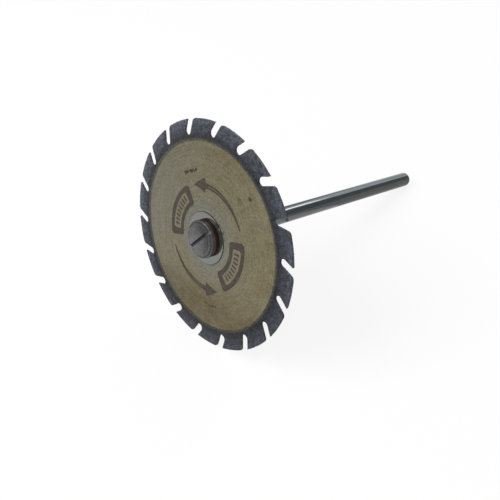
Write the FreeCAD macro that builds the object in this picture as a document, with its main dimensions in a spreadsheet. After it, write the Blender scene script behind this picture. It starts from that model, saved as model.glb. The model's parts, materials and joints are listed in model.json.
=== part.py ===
"""Slotted diamond cutting disc, clamped on its mandrel by a slotted screw.

Every piece is drawn round its own +Z axis, with z = 0 at the middle of the disc's thickness. +Z is
the way the disc's front face and the screw head look, and the shank runs to -Z. One placement then
lays them all down as the tool comes to rest: two corners of a slot's mouth and the rounded end of
the shank touch the ground, at z = 0. Lengths are in millimetres and angles in degrees.
"""
import FreeCAD, Part
import math
import os
import Sketcher

# The sizes that a maker would set. Each is a cell of the sheet, under the same name.
SIZES = {
    # The disc: a thin steel blank with a diamond coat round its rim.
    "disc_diameter": 30.0,
    "blank_thickness": 0.17,
    "coat_face_thickness": 0.05,
    "coat_edge_thickness": 0.15,
    "coat_root_width": 0.69,
    # The slots through the rim, leaning clockwise as they go outward, seen from the front.
    "slot_count": 18,
    "slot_width": 1.08,
    "slot_depth": 1.94,
    "slot_lean": 31.3,
    "slot_shoulder_radius": 0.55,
    # The screw.
    "stem_diameter": 1.8,
    "stem_length": 4.2,
    "stem_chamfer": 0.2,
    "head_diameter": 5.0,
    "head_height": 0.7,
    "head_rounding": 0.25,
    "driver_slot_width": 0.45,
    "driver_slot_depth": 0.34,
    "driver_slot_angle": 138.7,
    # The two washers under its head.
    "fibre_washer_diameter": 4.9,
    "fibre_washer_thickness": 0.3,
    "clamp_washer_diameter": 7.0,
    "clamp_washer_thickness": 0.1,
    "clamp_washer_chamfer": 0.03,
    "stem_clearance": 0.05,
    # The mandrel: a flange against the disc's back, a neck and a straight shank.
    "flange_diameter": 6.0,
    "flange_thickness": 0.7,
    "flange_chamfer": 0.15,
    "neck_root_diameter": 4.6,
    "neck_root_length": 0.4,
    "neck_diameter": 3.6,
    "neck_length": 1.6,
    "neck_taper_length": 1.2,
    "thread_hole_spare": 0.6,
    "drill_point_depth": 0.5,
    "shank_diameter": 2.35,
    "shank_end_rounding": 0.5,
    "tool_length": 45.5,
}

# What follows from them: cells with a formula, each using only the cells above it.
WORKED_OUT = {
    "blank_top": "=blank_thickness / 2",
    "coat_top": "=blank_top + coat_face_thickness",
    "head_seat": "=blank_top + clamp_washer_thickness + fibre_washer_thickness",
    "head_top": "=head_seat + head_height",
    "stem_end": "=head_seat - stem_length",
    "shank_end": "=coat_top - tool_length",
    "slot_end_radius": "=disc_diameter / 2 - slot_depth + slot_width / 2",
    "coat_inner_radius": "=disc_diameter / 2 - slot_depth - coat_root_width",
    # The mouth of a slot, across and along the slot's own line. One side of it is a sharp corner,
    # and the other is the rounded shoulder, given by its centre.
    "slot_offset": "=slot_end_radius * sin(slot_lean)",
    "corner_across": "=-slot_offset - slot_width / 2",
    "corner_along": "=sqrt((disc_diameter / 2) ^ 2 - corner_across ^ 2)",
    "shoulder_across": "=slot_shoulder_radius + slot_width / 2 - slot_offset",
    "shoulder_along": "=sqrt((disc_diameter / 2 - slot_shoulder_radius) ^ 2 - shoulder_across ^ 2)",
    # The straight line that touches both sides of the mouth is the ground that the disc stands on.
    "mouth_width": "=sqrt((shoulder_across - corner_across) ^ 2 + (shoulder_along - corner_along) ^ 2)",
    "mouth_angle": "=atan2(shoulder_across - corner_across; shoulder_along - corner_along) / 1 deg",
    "ground_angle": "=mouth_angle - acos(-slot_shoulder_radius / mouth_width) / 1 deg",
    "ground_distance": "=corner_along * cos(ground_angle) + corner_across * sin(ground_angle)",
    "slot_clock": "=90 + slot_lean + ground_angle",
    # The tool leans until the rounded end of the shank meets the same ground.
    "lean_rise": "=ground_distance - shank_diameter / 2 + shank_end_rounding",
    "lean_run": "=-shank_end - shank_end_rounding - coat_top",
    "lean_reach": "=sqrt(lean_rise ^ 2 + lean_run ^ 2)",
    "rest_lean": "=acos(shank_end_rounding / lean_reach) / 1 deg - atan2(lean_run; lean_rise) / 1 deg",
    "rest_turn": "=rest_lean - 90",
    "rest_height": "=ground_distance * cos(rest_lean) + coat_top * sin(rest_lean)",
    # The ground point under the middle of the tool is the origin.
    "reach_behind": "=ground_distance * sin(rest_lean) + coat_top * cos(rest_lean)",
    "end_centre_reach": "=(-shank_end - shank_end_rounding) * cos(rest_lean)",
    "end_corner_reach": "=(shank_diameter / 2 - shank_end_rounding) * sin(rest_lean)",
    "reach_ahead": "=end_centre_reach + end_corner_reach + shank_end_rounding",
    "rest_shift": "=(reach_behind - reach_ahead) / 2",
}


# Two lengths nearer to each other than this are the same length.
SAME = 1e-6


def make_sheet(doc):
    sheet = doc.addObject("Spreadsheet::Sheet", "sizes")
    for row, (name, value) in enumerate({**SIZES, **WORKED_OUT}.items(), start=1):
        sheet.set(f"A{row}", name)
        sheet.set(f"B{row}", str(value))
        sheet.setAlias(f"B{row}", name)
    doc.recompute()
    return sheet


def value_of(obj, expression):
    """The number that an expression over the sheet comes to now."""
    return float(obj.evalExpression(expression))


def lay_down(obj):
    """Put a piece where it lies when the tool is at rest."""
    turn = FreeCAD.Rotation(FreeCAD.Vector(0, 1, 0), value_of(obj, "sizes.rest_turn"))
    obj.Placement = FreeCAD.Placement(FreeCAD.Vector(), turn)
    obj.setExpression("Placement.Base.x", "sizes.rest_shift")
    obj.setExpression("Placement.Base.z", "sizes.rest_height")
    obj.setExpression("Placement.Rotation.Angle", "sizes.rest_turn")


def new_body(doc, name):
    body = doc.addObject("PartDesign::Body", name)
    body.Label = name
    return body


def new_sketch(body, role, name, height="0"):
    """A sketch on one of the body's origin planes, lifted along the plane's normal."""
    sketch = body.newObject("Sketcher::SketchObject", name)
    plane = next(item for item in body.Origin.OriginFeatures if item.Role == role)
    sketch.AttachmentSupport = [(plane, "")]
    sketch.MapMode = "FlatFace"
    sketch.setExpression("AttachmentOffset.Base.z", height)
    return sketch


def bind(sketch, kind, *target, to):
    """Add a measured constraint whose value follows an expression over the sheet."""
    index = sketch.addConstraint(Sketcher.Constraint(kind, *target, value_of(sketch, to)))
    sketch.setExpression(f"Constraints[{index}]", to)


def pin_point(sketch, geometry, end, across, up):
    """Hold a point of the sketch at two expressions, measured from the sketch's origin."""
    for kind, axis, expression in (("DistanceX", -2, across), ("DistanceY", -1, up)):
        if abs(value_of(sketch, expression)) < SAME:
            sketch.addConstraint(Sketcher.Constraint("PointOnObject", geometry, end, axis))
        else:
            bind(sketch, kind, -1, 1, geometry, end, to=expression)


def draw_outline(sketch, corners):
    """A closed run of straight lines through corners given as pairs of expressions."""
    points = [FreeCAD.Vector(value_of(sketch, a), value_of(sketch, b), 0) for a, b in corners]
    count = len(points)
    for index in range(count):
        sketch.addGeometry(Part.LineSegment(points[index], points[(index + 1) % count]))
    for index in range(count):
        following = (index + 1) % count
        sketch.addConstraint(Sketcher.Constraint("Coincident", index, 2, following, 1))
        pin_point(sketch, index, 1, *corners[index])


def draw_circle(sketch, radius):
    """A circle round the sketch's origin."""
    circle = Part.Circle(FreeCAD.Vector(), FreeCAD.Vector(0, 0, 1), value_of(sketch, radius))
    index = sketch.addGeometry(circle)
    sketch.addConstraint(Sketcher.Constraint("Coincident", index, 3, -1, 1))
    bind(sketch, "Radius", index, to=radius)


def pad_rings(body, name, radii, bottom, thickness):
    """A plate between two concentric circles, or one, standing on a height."""
    sketch = new_sketch(body, "XY_Plane", name + "_outline", bottom)
    for radius in radii:
        draw_circle(sketch, radius)
    pad = body.newObject("PartDesign::Pad", name)
    pad.Profile = sketch
    pad.setExpression("Length", thickness)
    body.Document.recompute()
    return pad


def revolve(body, name, corners):
    """A turned solid: an outline in radius and height, spun round the body's axis."""
    sketch = new_sketch(body, "XZ_Plane", name + "_outline")
    draw_outline(sketch, corners)
    turned = body.newObject("PartDesign::Revolution", name)
    turned.Profile = sketch
    turned.ReferenceAxis = (sketch, ["V_Axis"])
    turned.Angle = 360
    body.Document.recompute()
    return turned


def ring_edges(feature, radius, height):
    """Names of the feature's round edges of one radius at one height."""
    found = []
    for index, edge in enumerate(feature.Shape.Edges, start=1):
        curve = edge.Curve
        if not isinstance(curve, Part.Circle) or abs(curve.Radius - radius) > SAME:
            continue
        if abs(curve.Center.z - height) < SAME and abs(edge.Vertexes[0].Z - height) < SAME:
            found.append(f"Edge{index}")
    return found


def round_ring(body, name, feature, radius, height, rounding):
    """Round the edge of one radius and height on the feature."""
    names = ring_edges(feature, value_of(body, radius), value_of(body, height))
    fillet = body.newObject("PartDesign::Fillet", name)
    fillet.Base = (feature, names)
    fillet.setExpression("Radius", rounding)
    body.Document.recompute()
    return fillet


def draw_slot(sketch, coat):
    """One slot, from its round end to beyond the rim, with coat more room on every side.

    The round end is centred on the sketch's +Y axis and the slot leans to +X. Its +X side meets
    the rim in a rounded shoulder, and its other side in a sharp corner.
    """
    half_width = f"sizes.slot_width / 2 + {coat}"
    shoulder_radius = f"sizes.slot_shoulder_radius - {coat}"
    overrun_radius = "sizes.disc_diameter / 2 + sizes.slot_shoulder_radius"
    half, rounding = value_of(sketch, half_width), value_of(sketch, shoulder_radius)
    overrun = value_of(sketch, overrun_radius)

    # First about where each line goes, along and across the slot.
    up = FreeCAD.Vector(0, 0, 1)
    lean = FreeCAD.Rotation(up, -value_of(sketch, "sizes.slot_lean"))
    along = lean.multVec(FreeCAD.Vector(0, 1, 0))
    across = lean.multVec(FreeCAD.Vector(1, 0, 0))
    end = FreeCAD.Vector(0, value_of(sketch, "sizes.slot_end_radius"), 0)
    shoulder = along * value_of(sketch, "sizes.shoulder_along")
    shoulder += across * value_of(sketch, "sizes.shoulder_across")
    outward = shoulder / shoulder.Length
    offset = across.dot(end) - half
    sharp_far = across * offset + along * math.sqrt(overrun ** 2 - offset ** 2)
    round_far = outward * overrun
    rim_point = shoulder + outward * rounding
    wall_point = shoulder - across * rounding
    left, right = math.atan2(-across.y, -across.x), math.atan2(across.y, across.x)
    floor = sketch.addGeometry(Part.ArcOfCircle(Part.Circle(end, up, half), left, right))
    sharp_wall = sketch.addGeometry(Part.LineSegment(end - across * half, sharp_far))
    outside = sketch.addGeometry(Part.LineSegment(sharp_far, round_far))
    mouth = sketch.addGeometry(Part.LineSegment(round_far, rim_point))
    round_start = math.atan2(outward.y, outward.x)
    corner = sketch.addGeometry(Part.ArcOfCircle(Part.Circle(shoulder, up, rounding), round_start, left))
    round_wall = sketch.addGeometry(Part.LineSegment(wall_point, end + across * half))

    # Then what holds them there.
    for joined in ((sharp_wall, 2, outside, 1), (outside, 2, mouth, 1), (mouth, 2, corner, 1)):
        sketch.addConstraint(Sketcher.Constraint("Coincident", *joined))
    for smooth in ((floor, 1, sharp_wall, 1), (floor, 2, round_wall, 2), (corner, 2, round_wall, 1)):
        sketch.addConstraint(Sketcher.Constraint("Tangent", *smooth))
    sketch.addConstraint(Sketcher.Constraint("Parallel", sharp_wall, round_wall))
    sketch.addConstraint(Sketcher.Constraint("PointOnObject", -1, 1, mouth))
    sketch.addConstraint(Sketcher.Constraint("PointOnObject", corner, 3, mouth))
    pin_point(sketch, floor, 3, "0", "sizes.slot_end_radius")
    bind(sketch, "Radius", floor, to=half_width)
    bind(sketch, "Radius", corner, to=shoulder_radius)
    bind(sketch, "Distance", -1, 1, corner, 3,
         to="sizes.disc_diameter / 2 - sizes.slot_shoulder_radius")
    bind(sketch, "Distance", -1, 1, outside, 1, to=overrun_radius)
    bind(sketch, "Distance", -1, 1, outside, 2, to=overrun_radius)
    angle = sketch.addConstraint(Sketcher.Constraint("Angle", sharp_wall, math.atan2(along.y, along.x)))
    sketch.setExpression(f"Constraints[{angle}]", "90 - sizes.slot_lean")


def toothed_plate(doc, name, radii, bottom, thickness, coat="0"):
    """A thin plate with the slots cut through its rim, left smaller by coat at the rim and slots."""
    body = new_body(doc, name)
    pad_rings(body, name + "_plate", radii, bottom, thickness)
    sketch = new_sketch(body, "XY_Plane", name + "_slot_outline", bottom)
    sketch.AttachmentOffset = FreeCAD.Placement(FreeCAD.Vector(), FreeCAD.Rotation(0, 0, 1, 0))
    sketch.setExpression("AttachmentOffset.Rotation.Angle", "sizes.slot_clock")
    draw_slot(sketch, coat)
    slot = body.newObject("PartDesign::Pocket", name + "_slot")
    slot.Profile = sketch
    slot.Type = "ThroughAll"
    slot.Reversed = True
    doc.recompute()
    slots = body.newObject("PartDesign::PolarPattern", name + "_slots")
    slots.Originals = [slot]
    slots.Axis = (sketch, ["N_Axis"])
    slots.Angle = 360
    slots.setExpression("Occurrences", "sizes.slot_count")
    body.Tip = slots
    doc.recompute()
    return body


def make_disc_blank(doc):
    """The steel blank: a slotted plate with the stem's hole in the middle."""
    rim = "sizes.disc_diameter / 2 - sizes.coat_edge_thickness"
    hole = "sizes.stem_diameter / 2 + sizes.stem_clearance"
    blank = toothed_plate(doc, "disc_blank", [rim, hole], "-sizes.blank_top", "sizes.blank_thickness",
                          "sizes.coat_edge_thickness")
    lay_down(blank)
    return blank


def make_diamond_coat(doc):
    """The diamond coat: it wraps both faces of the rim, its edge and the walls of the slots."""
    radii = ["sizes.disc_diameter / 2", "sizes.coat_inner_radius"]
    outside = toothed_plate(doc, "coat_outside", radii, "-sizes.coat_top", "2 * sizes.coat_top")
    rim = "sizes.disc_diameter / 2 - sizes.coat_edge_thickness"
    inside = toothed_plate(doc, "coat_inside", [rim], "-sizes.blank_top", "sizes.blank_thickness",
                           "sizes.coat_edge_thickness")
    coat = doc.addObject("Part::Cut", "diamond_coat")
    coat.Label = "diamond_coat"
    coat.Base = outside
    coat.Tool = inside
    lay_down(coat)
    return coat


def make_clamp_washer(doc):
    """The polished washer on the disc's front face, with its front edge broken."""
    body = new_body(doc, "clamp_washer")
    hole, rim = "sizes.stem_diameter / 2 + sizes.stem_clearance", "sizes.clamp_washer_diameter / 2"
    top = "sizes.blank_top + sizes.clamp_washer_thickness"
    revolve(body, "clamp_washer_turned", [
        (hole, "sizes.blank_top"),
        (rim, "sizes.blank_top"),
        (rim, f"{top} - sizes.clamp_washer_chamfer"),
        (f"{rim} - sizes.clamp_washer_chamfer", top),
        (hole, top),
    ])
    lay_down(body)
    return body


def make_fibre_washer(doc):
    """The thin red washer between the polished one and the screw head."""
    body = new_body(doc, "fibre_washer")
    radii = ["sizes.fibre_washer_diameter / 2", "sizes.stem_diameter / 2 + sizes.stem_clearance"]
    pad_rings(body, "fibre_washer_plate", radii, "sizes.head_seat - sizes.fibre_washer_thickness",
              "sizes.fibre_washer_thickness")
    lay_down(body)
    return body


def make_screw(doc):
    """The screw: a low round head with a driver slot, and a stem that fills the mandrel's hole."""
    body = new_body(doc, "screw")
    head, stem = "sizes.head_diameter / 2", "sizes.stem_diameter / 2"
    turned = revolve(body, "screw_turned", [
        ("0", "sizes.head_top"),
        (head, "sizes.head_top"),
        (head, "sizes.head_seat"),
        (stem, "sizes.head_seat"),
        (stem, "sizes.stem_end + sizes.stem_chamfer"),
        (f"{stem} - sizes.stem_chamfer", "sizes.stem_end"),
        ("0", "sizes.stem_end"),
    ])
    round_ring(body, "head_edge", turned, head, "sizes.head_top", "sizes.head_rounding")
    sketch = new_sketch(body, "XY_Plane", "driver_slot_outline", "sizes.head_top")
    sketch.AttachmentOffset = FreeCAD.Placement(FreeCAD.Vector(), FreeCAD.Rotation(0, 0, 1, 0))
    sketch.setExpression("AttachmentOffset.Rotation.Angle", "sizes.driver_slot_angle")
    reach, half = "sizes.head_diameter", "sizes.driver_slot_width / 2"
    draw_outline(sketch, [
        (f"-{reach}", f"-{half}"),
        (reach, f"-{half}"),
        (reach, half),
        (f"-{reach}", half),
    ])
    slot = body.newObject("PartDesign::Pocket", "driver_slot")
    slot.Profile = sketch
    slot.setExpression("Length", "sizes.driver_slot_depth")
    doc.recompute()
    lay_down(body)
    return body


def make_mandrel(doc):
    """The mandrel, turned in one piece: flange, neck, straight shank and the screw's blind hole."""
    body = new_body(doc, "mandrel")
    turned_parts = ("flange", "neck", "shank", "stem")
    flange, neck, shank, hole = (f"sizes.{each}_diameter / 2" for each in turned_parts)
    seat = "-sizes.blank_top"
    flange_back = f"{seat} - sizes.flange_thickness"
    neck_start = f"{flange_back} - sizes.neck_root_length"
    neck_end = f"{neck_start} - sizes.neck_length"
    hole_floor = "sizes.stem_end - sizes.thread_hole_spare"
    turned = revolve(body, "mandrel_turned", [
        (hole, seat),
        (flange, seat),
        (flange, f"{flange_back} + sizes.flange_chamfer"),
        (f"{flange} - sizes.flange_chamfer", flange_back),
        ("sizes.neck_root_diameter / 2", flange_back),
        (neck, neck_start),
        (neck, neck_end),
        (shank, f"{neck_end} - sizes.neck_taper_length"),
        (shank, "sizes.shank_end"),
        ("0", "sizes.shank_end"),
        ("0", f"{hole_floor} - sizes.drill_point_depth"),
        (hole, hole_floor),
    ])
    round_ring(body, "shank_tip", turned, shank, "sizes.shank_end", "sizes.shank_end_rounding")
    lay_down(body)
    return body


# The pieces, in the order in which they are made.
MAKERS = (
    make_disc_blank,
    make_diamond_coat,
    make_clamp_washer,
    make_fibre_washer,
    make_screw,
    make_mandrel,
)


def check(doc, pieces):
    """Stop before anything is written if a feature failed or a piece isn't a sound solid."""
    for obj in doc.Objects:
        if "Invalid" in obj.State or "Error" in obj.State:
            raise RuntimeError(f"{obj.Name} failed: {obj.State}")
    for piece in pieces:
        if piece.Shape.isNull() or not piece.Shape.isValid():
            raise RuntimeError(f"{piece.Label} has no valid shape")


def main():
    doc = FreeCAD.newDocument("cutting_disc")
    make_sheet(doc)
    pieces = [make(doc) for make in MAKERS]
    doc.recompute()
    check(doc, pieces)
    os.makedirs("parts", exist_ok=True)
    for piece in pieces:
        piece.Shape.exportStep(f"parts/{piece.Label}.step")
        box = piece.Shape.BoundBox
        print(f"{piece.Label}: {len(piece.Shape.Solids)} solid, {piece.Shape.Volume:.3f} mm3")
        print(f"  x {box.XMin:.2f}..{box.XMax:.2f}, y {box.YMin:.2f}..{box.YMax:.2f},"
              f" z {box.ZMin:.3f}..{box.ZMax:.2f}")


main()
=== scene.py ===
"""Slotted diamond cutting disc on its mandrel: the looks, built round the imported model.

The tool's own frame has +Z out of the disc's front face, with the disc's middle at its origin.
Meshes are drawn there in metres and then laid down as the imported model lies.
"""
import json
import math
import random
import bmesh
import bpy
from mathutils import Euler, Matrix, Vector


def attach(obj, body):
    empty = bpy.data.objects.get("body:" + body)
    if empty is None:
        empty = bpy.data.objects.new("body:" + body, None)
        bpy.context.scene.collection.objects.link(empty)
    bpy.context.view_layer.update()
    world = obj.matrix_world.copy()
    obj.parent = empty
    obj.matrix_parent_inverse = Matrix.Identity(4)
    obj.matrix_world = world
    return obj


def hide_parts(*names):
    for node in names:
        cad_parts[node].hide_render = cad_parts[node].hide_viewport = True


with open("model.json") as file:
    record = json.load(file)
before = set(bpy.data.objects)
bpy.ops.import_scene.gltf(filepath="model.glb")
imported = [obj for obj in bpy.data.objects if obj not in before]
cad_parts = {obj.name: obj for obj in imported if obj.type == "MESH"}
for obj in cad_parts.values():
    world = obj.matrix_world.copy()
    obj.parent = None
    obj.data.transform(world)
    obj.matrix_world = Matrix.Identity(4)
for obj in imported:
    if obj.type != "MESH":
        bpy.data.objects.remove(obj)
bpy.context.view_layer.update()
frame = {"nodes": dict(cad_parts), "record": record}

bl_info = {
    "name": "Slotted Diamond Cutting Disc",
    "version": (1, 0, 0),
    "blender": (4, 5, 0),
    "location": "View3D > Sidebar > Cutting Disc",
    "description": "Builds the finishes, turned parts, printing and stage of a diamond cutting disc",
    "category": "Add Mesh",
}

MM = 0.001
BODY = "root"
FULL_TURN = 2 * math.pi

# Steps round a turned piece, and steps in a rounded corner of its outline.
TURN_STEPS = 192
CORNER_STEPS = 4
# A straight run keeps a support ring this share of the rounding away from a rounded corner.
SUPPORT_SHARE = 0.2
# Two faces that meet more steeply than this keep a sharp edge between them.
SHARP_ANGLE = math.radians(38)
ON_AXIS = 1e-7
# The part of a noise's range that most of its values lie in.
NOISE_RANGE = (0.3, 0.7)

# The diamond grains: how many a square metre may get before close ones are left out, and their seed.
MOST_GRAINS = 1.2e8
GRAIN_SEED = 7

# The printed panels: bearings in degrees, then half width, half length and rounding in mm.
PANEL_BEARINGS = (74.5, 254.5)
PANEL_FIELD = (0.72, 2.75, 0.3)
PANEL_EDGE = (1.35, 3.7, 0.5)
# The ticks of a panel: how many, over what angle in degrees, and their length and width in mm.
TICK_COUNT = 8
TICK_SWEEP = 41
TICK_SIZE = (0.8, 0.3)
# Rows of flecks: radius in mm, first and last bearing in degrees, count.
FLECK_ROWS = ((8.75, 22, 39, 13), (9.3, 190, 203, 8))
# How far the edge of the printing wanders, in mm.
INK_WANDER = 0.012
# The flecks: how far they lie from their row, their least and greatest size in mm, and their corners.
FLECK_WANDER = 0.16
FLECK_SIZES = (0.11, 0.29)
FLECK_CORNERS = 7

# The head's turning rings: stations in each, and their depths in parts of the usual one.
RING_STEPS = 4
RING_DEPTHS = (0.5, 1.3)

# The mandrel's shoulder and neck, and heights along it, in mm.
SHOULDER_RADIUS = 2.3
NECK_RADIUS = 1.8
NECK_TOP = -1.185
NECK_END = -2.785
SHANK_START = -3.985
HOLE_WALL_END = -4.215
HOLE_TIP = -4.715


def length(name, description, millimetres):
    """A size that a user may change, given in millimetres and kept in metres."""
    return bpy.props.FloatProperty(
        name=name, description=description, default=millimetres * MM, unit="LENGTH", precision=5)


def angle(name, description, degrees):
    return bpy.props.FloatProperty(
        name=name, description=description, default=math.radians(degrees), unit="ROTATION")


def colour(name, description, red, green, blue):
    """A colour as it looks on screen, in parts of 255, kept in linear light."""
    return bpy.props.FloatVectorProperty(
        name=name, description=description, subtype="COLOR", size=3, min=0, max=1,
        default=tuple(linear(part) for part in (red, green, blue)))


def linear(part):
    share = part / 255
    return share / 12.92 if share <= 0.04045 else ((share + 0.055) / 1.055) ** 2.4


class CuttingDiscSizes(bpy.types.PropertyGroup):
    """Sizes of the pieces that are turned or printed here."""

    blank_top: length("Blank top", "Height of the blank's front face", 0.085)
    rim_top: length("Rim top", "Height of the diamond rim's front face", 0.135)
    disc_diameter: length("Disc diameter", "Across the diamond rim", 30.0)
    coat_inner_radius: length("Rim inside radius", "Where the diamond rim starts", 12.37)
    slot_end_radius: length("Slot end radius", "Radius at which the slots' round ends are centred", 13.6)
    slot_lean: angle("Slot lean", "Lean of the slots from the radius", 31.3)
    slot_clock: angle("Slot clock", "Where the first slot's end is, round the disc", 183.825)
    slot_count: bpy.props.IntProperty(name="Slots", description="Slots round the rim", default=18)
    head_diameter: length("Head diameter", "Across the screw head", 5.0)
    head_top: length("Head top", "Height of the screw head's face", 1.185)
    head_seat: length("Head seat", "Height of the screw head's underside", 0.485)
    head_rounding: length("Head rounding", "Rounding of the screw head's edge", 0.25)
    stem_diameter: length("Stem diameter", "Across the screw's stem", 1.8)
    stem_end: length("Stem end", "Height of the stem's end", -3.715)
    driver_slot_width: length("Driver slot width", "Across the driver slot", 0.45)
    driver_slot_depth: length("Driver slot depth", "Depth of the driver slot", 0.34)
    driver_slot_angle: angle("Driver slot angle", "Direction of the driver slot", 138.7)
    head_crown: length("Head crown", "Rise of the head's face from its edge to its middle", 0.12)
    facing_pitch: length("Facing pitch", "Distance between the turning rings on the head", 0.27)
    facing_depth: length("Facing depth", "Depth of the turning rings", 0.006)
    washer_diameter: length("Washer diameter", "Across the polished washer", 7.0)
    washer_top: length("Washer top", "Height of the polished washer's face", 0.185)
    fibre_diameter: length("Fibre diameter", "Across the red fibre washer", 4.9)
    bore_diameter: length("Bore diameter", "Across the washers' holes", 1.9)
    flange_diameter: length("Flange diameter", "Across the mandrel's flange", 6.0)
    flange_back: length("Flange back", "Height of the flange's back", -0.785)
    shank_diameter: length("Shank diameter", "Across the shank", 2.35)
    shank_end: length("Shank end", "Height of the shank's end", -45.365)
    shank_rounding: length("Shank rounding", "Rounding of the shank's end", 0.5)
    grain_size: length("Grain size", "Across a diamond grain", 0.13)
    grain_spacing: length("Grain spacing", "Least distance between two grains", 0.14)
    arrow_one_radius: length("First arrow radius", "Radius of the upper arrow", 6.9)
    arrow_two_radius: length("Second arrow radius", "Radius of the lower arrow", 7.15)
    panel_radius: length("Panel radius", "Radius of the printed panels", 5.9)
    ink_thickness: length("Ink thickness", "Thickness of the printing", 0.006)


class CuttingDiscColours(bpy.types.PropertyGroup):
    """Colours of the finishes."""

    gilt: colour("Gilt", "Lacquered steel of the blank", 131, 124, 98)
    gilt_brown: colour("Brown gilt", "Where the lacquer has browned", 107, 93, 62)
    gilt_pale: colour("Pale gilt", "Round the washer", 131, 129, 117)
    bond: colour("Bond", "Bond metal of the rim", 53, 54, 58)
    bond_pale: colour("Pale bond", "Worn middle of each tooth", 83, 87, 97)
    grain_dark: colour("Dark grain", "Darkest grains", 40, 41, 45)
    grain_pale: colour("Pale grain", "Palest grains", 122, 126, 135)
    ink: colour("Ink", "Printing", 66, 59, 55)
    ink_worn: colour("Worn ink", "Printing rubbed thin", 86, 78, 63)
    washer: colour("Washer", "Polished steel washer", 186, 188, 183)
    fibre: colour("Fibre", "Red fibre washer", 84, 43, 37)
    fibre_dark: colour("Dark fibre", "Oil-darkened fibre", 50, 33, 33)
    screw: colour("Screw", "Turned steel screw", 169, 171, 169)
    shank: colour("Shank", "Ground steel of the mandrel", 101, 103, 104)


class CuttingDiscStage(bpy.types.PropertyGroup):
    """Camera and studio."""

    camera_place: bpy.props.FloatVectorProperty(
        name="Camera place", description="Where the camera stands", subtype="TRANSLATION", unit="LENGTH",
        size=3, precision=6, default=(-0.0504253, -0.0473106, 0.05984))
    camera_turn: bpy.props.FloatVectorProperty(
        name="Camera turn", description="How the camera is turned", subtype="EULER", unit="ROTATION",
        size=3, default=tuple(math.radians(each) for each in (49.8398, 6.2093, -40.646)))
    lens: bpy.props.FloatProperty(
        name="Lens", description="Focal length on a 36 mm sensor", default=40.894, unit="CAMERA")
    shift: bpy.props.FloatVectorProperty(
        name="Shift", description="Shift of the picture, in picture widths", size=2,
        default=(0.05, -0.009))
    daylight: bpy.props.FloatProperty(
        name="Daylight", description="Strength of the light from all round", default=0.62)
    floor_reach: length("Floor reach", "Half the width of the floor", 1500.0)


def tool_frame():
    """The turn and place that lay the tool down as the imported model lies, read from the model."""
    shank = next(mount for mount in frame["record"]["mounts"] if mount["name"] == "shank")
    front = -Vector(shank["axis"]).normalized()
    side = Vector((0, 1, 0))
    on_axis = Vector(shank["pos_m"])
    heights = [(v.co - on_axis).dot(front) for v in frame["nodes"]["disc_blank"].data.vertices]
    middle = on_axis + front * (min(heights) + max(heights)) / 2
    turn = Matrix((side.cross(front), side, front)).transposed()
    return Matrix.Translation(middle) @ turn.to_4x4()


TOOL = tool_frame()


def sizes():
    return bpy.context.scene.cutting_disc_sizes


def colours():
    return bpy.context.scene.cutting_disc_colours


def studio():
    return bpy.context.scene.cutting_disc_stage


# Meshes


def new_object(name, data):
    made = bpy.data.objects.new(name, data)
    bpy.context.scene.collection.objects.link(made)
    return made


def new_material(name):
    material = bpy.data.materials.new(name)
    material.use_nodes = True
    return material


def lay_down(name, mesh, material=None, replaces=()):
    """Lay a mesh down as the tool lies, and attach it to the tool's body.

    A mesh that comes from a modifier has its materials already.
    """
    mesh.transform(TOOL)
    mesh.update()
    if material is not None:
        mesh.materials.append(material)
    piece = new_object(name, mesh)
    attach(piece, BODY)
    if replaces:
        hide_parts(*replaces)


def corner_points(before, corner, after, rounding):
    """The rounded corner of an outline, with a support point on each straight run beside it."""
    to_before = (before - corner).normalized()
    to_after = (after - corner).normalized()
    half = to_before.angle(to_after) / 2
    reach = rounding / math.tan(half)
    centre = corner + (to_before + to_after).normalized() * rounding / math.sin(half)
    start = corner + to_before * reach - centre
    sweep = start.angle_signed(corner + to_after * reach - centre)
    points = [corner + to_before * (reach + rounding * SUPPORT_SHARE)]
    for step in range(CORNER_STEPS + 1):
        turn = Matrix.Rotation(-sweep * step / CORNER_STEPS, 2)
        points.append(centre + turn @ start)
    points.append(corner + to_after * (reach + rounding * SUPPORT_SHARE))
    return points


def rounded_outline(corners):
    """A closed outline in radius and height. Each corner is (radius, height, rounding)."""
    outline = []
    count = len(corners)
    for index, (radius, height, rounding) in enumerate(corners):
        corner = Vector((radius, height))
        if rounding == 0:
            outline.append(corner)
            continue
        before = Vector(corners[index - 1][:2])
        after = Vector(corners[(index + 1) % count][:2])
        outline += corner_points(before, corner, after, rounding)
    return outline


def polar(radius, turn):
    return (radius * math.cos(turn), radius * math.sin(turn))


def finish_faces(mesh):
    """Smooth shading that keeps the steep edges sharp."""
    mesh.shade_smooth()
    mesh.set_sharp_from_angle(angle=SHARP_ANGLE)


def mesh_from(shape, name, outwards=True):
    """The mesh of what was drawn. Only an open skin keeps its faces as they are."""
    if outwards:
        bmesh.ops.recalc_face_normals(shape, faces=shape.faces)
    mesh = bpy.data.meshes.new(name)
    shape.to_mesh(mesh)
    shape.free()
    return mesh


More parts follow.
